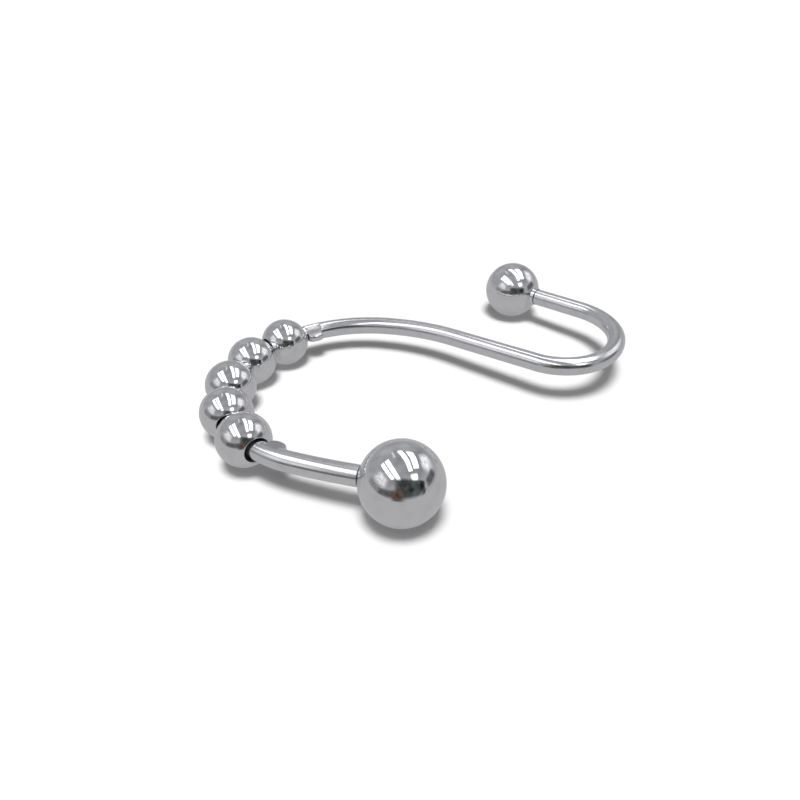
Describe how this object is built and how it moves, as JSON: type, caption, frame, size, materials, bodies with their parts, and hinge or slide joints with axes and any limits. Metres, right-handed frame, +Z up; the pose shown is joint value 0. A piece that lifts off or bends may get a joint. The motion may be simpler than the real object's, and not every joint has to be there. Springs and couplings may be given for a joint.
{
  "type": "shower curtain hook",
  "caption": "Bent round-wire curtain hook with a ball on each end and drilled balls that roll along its rod seat.",
  "frame": {"origin": "on the table, under the middle of the hook as it lies", "axes": "+X from the rod seat towards the curtain bend, which is down as the hook hangs; +Z up from the table it lies on"},
  "size_m": [0.0736, 0.0562, 0.0115],
  "materials": {
    "wire": "polished steel wire",
    "end_balls": "mirror-polished steel",
    "rollers": "mirror-polished steel"
  },
  "bodies": {
    "hook": {"hook_wire": "wire", "large_ball": "end_balls", "small_ball": "end_balls"},
    "roller_1": {"roller_1": "rollers"},
    "roller_2": {"roller_2": "rollers"},
    "roller_3": {"roller_3": "rollers"},
    "roller_4": {"roller_4": "rollers"},
    "roller_5": {"roller_5": "rollers"}
  },
  "joints": [
    {"name": "roller_1_turn", "type": "hinge", "parent": "hook", "child": "roller_1", "pos_m": [-0.03146, -0.00471, 0.00464], "axis": [0.3561, -0.9335, 0.0435], "continuous": true},
    {"name": "roller_2_turn", "type": "hinge", "parent": "hook", "child": "roller_2", "pos_m": [-0.03275, 0.0029, 0.00433], "axis": [-0.0278, -0.999, 0.0353], "continuous": true},
    {"name": "roller_3_turn", "type": "hinge", "parent": "hook", "child": "roller_3", "pos_m": [-0.03104, 0.01043, 0.00411], "axis": [-0.4075, -0.913, 0.0218], "continuous": true},
    {"name": "roller_4_turn", "type": "hinge", "parent": "hook", "child": "roller_4", "pos_m": [-0.02658, 0.01674, 0.004], "axis": [-0.7253, -0.6884, 0.0049], "continuous": true},
    {"name": "roller_5_turn", "type": "hinge", "parent": "hook", "child": "roller_5", "pos_m": [-0.02004, 0.02087, 0.00403], "axis": [-0.9331, -0.3594, -0.0127], "continuous": true}
  ]
}
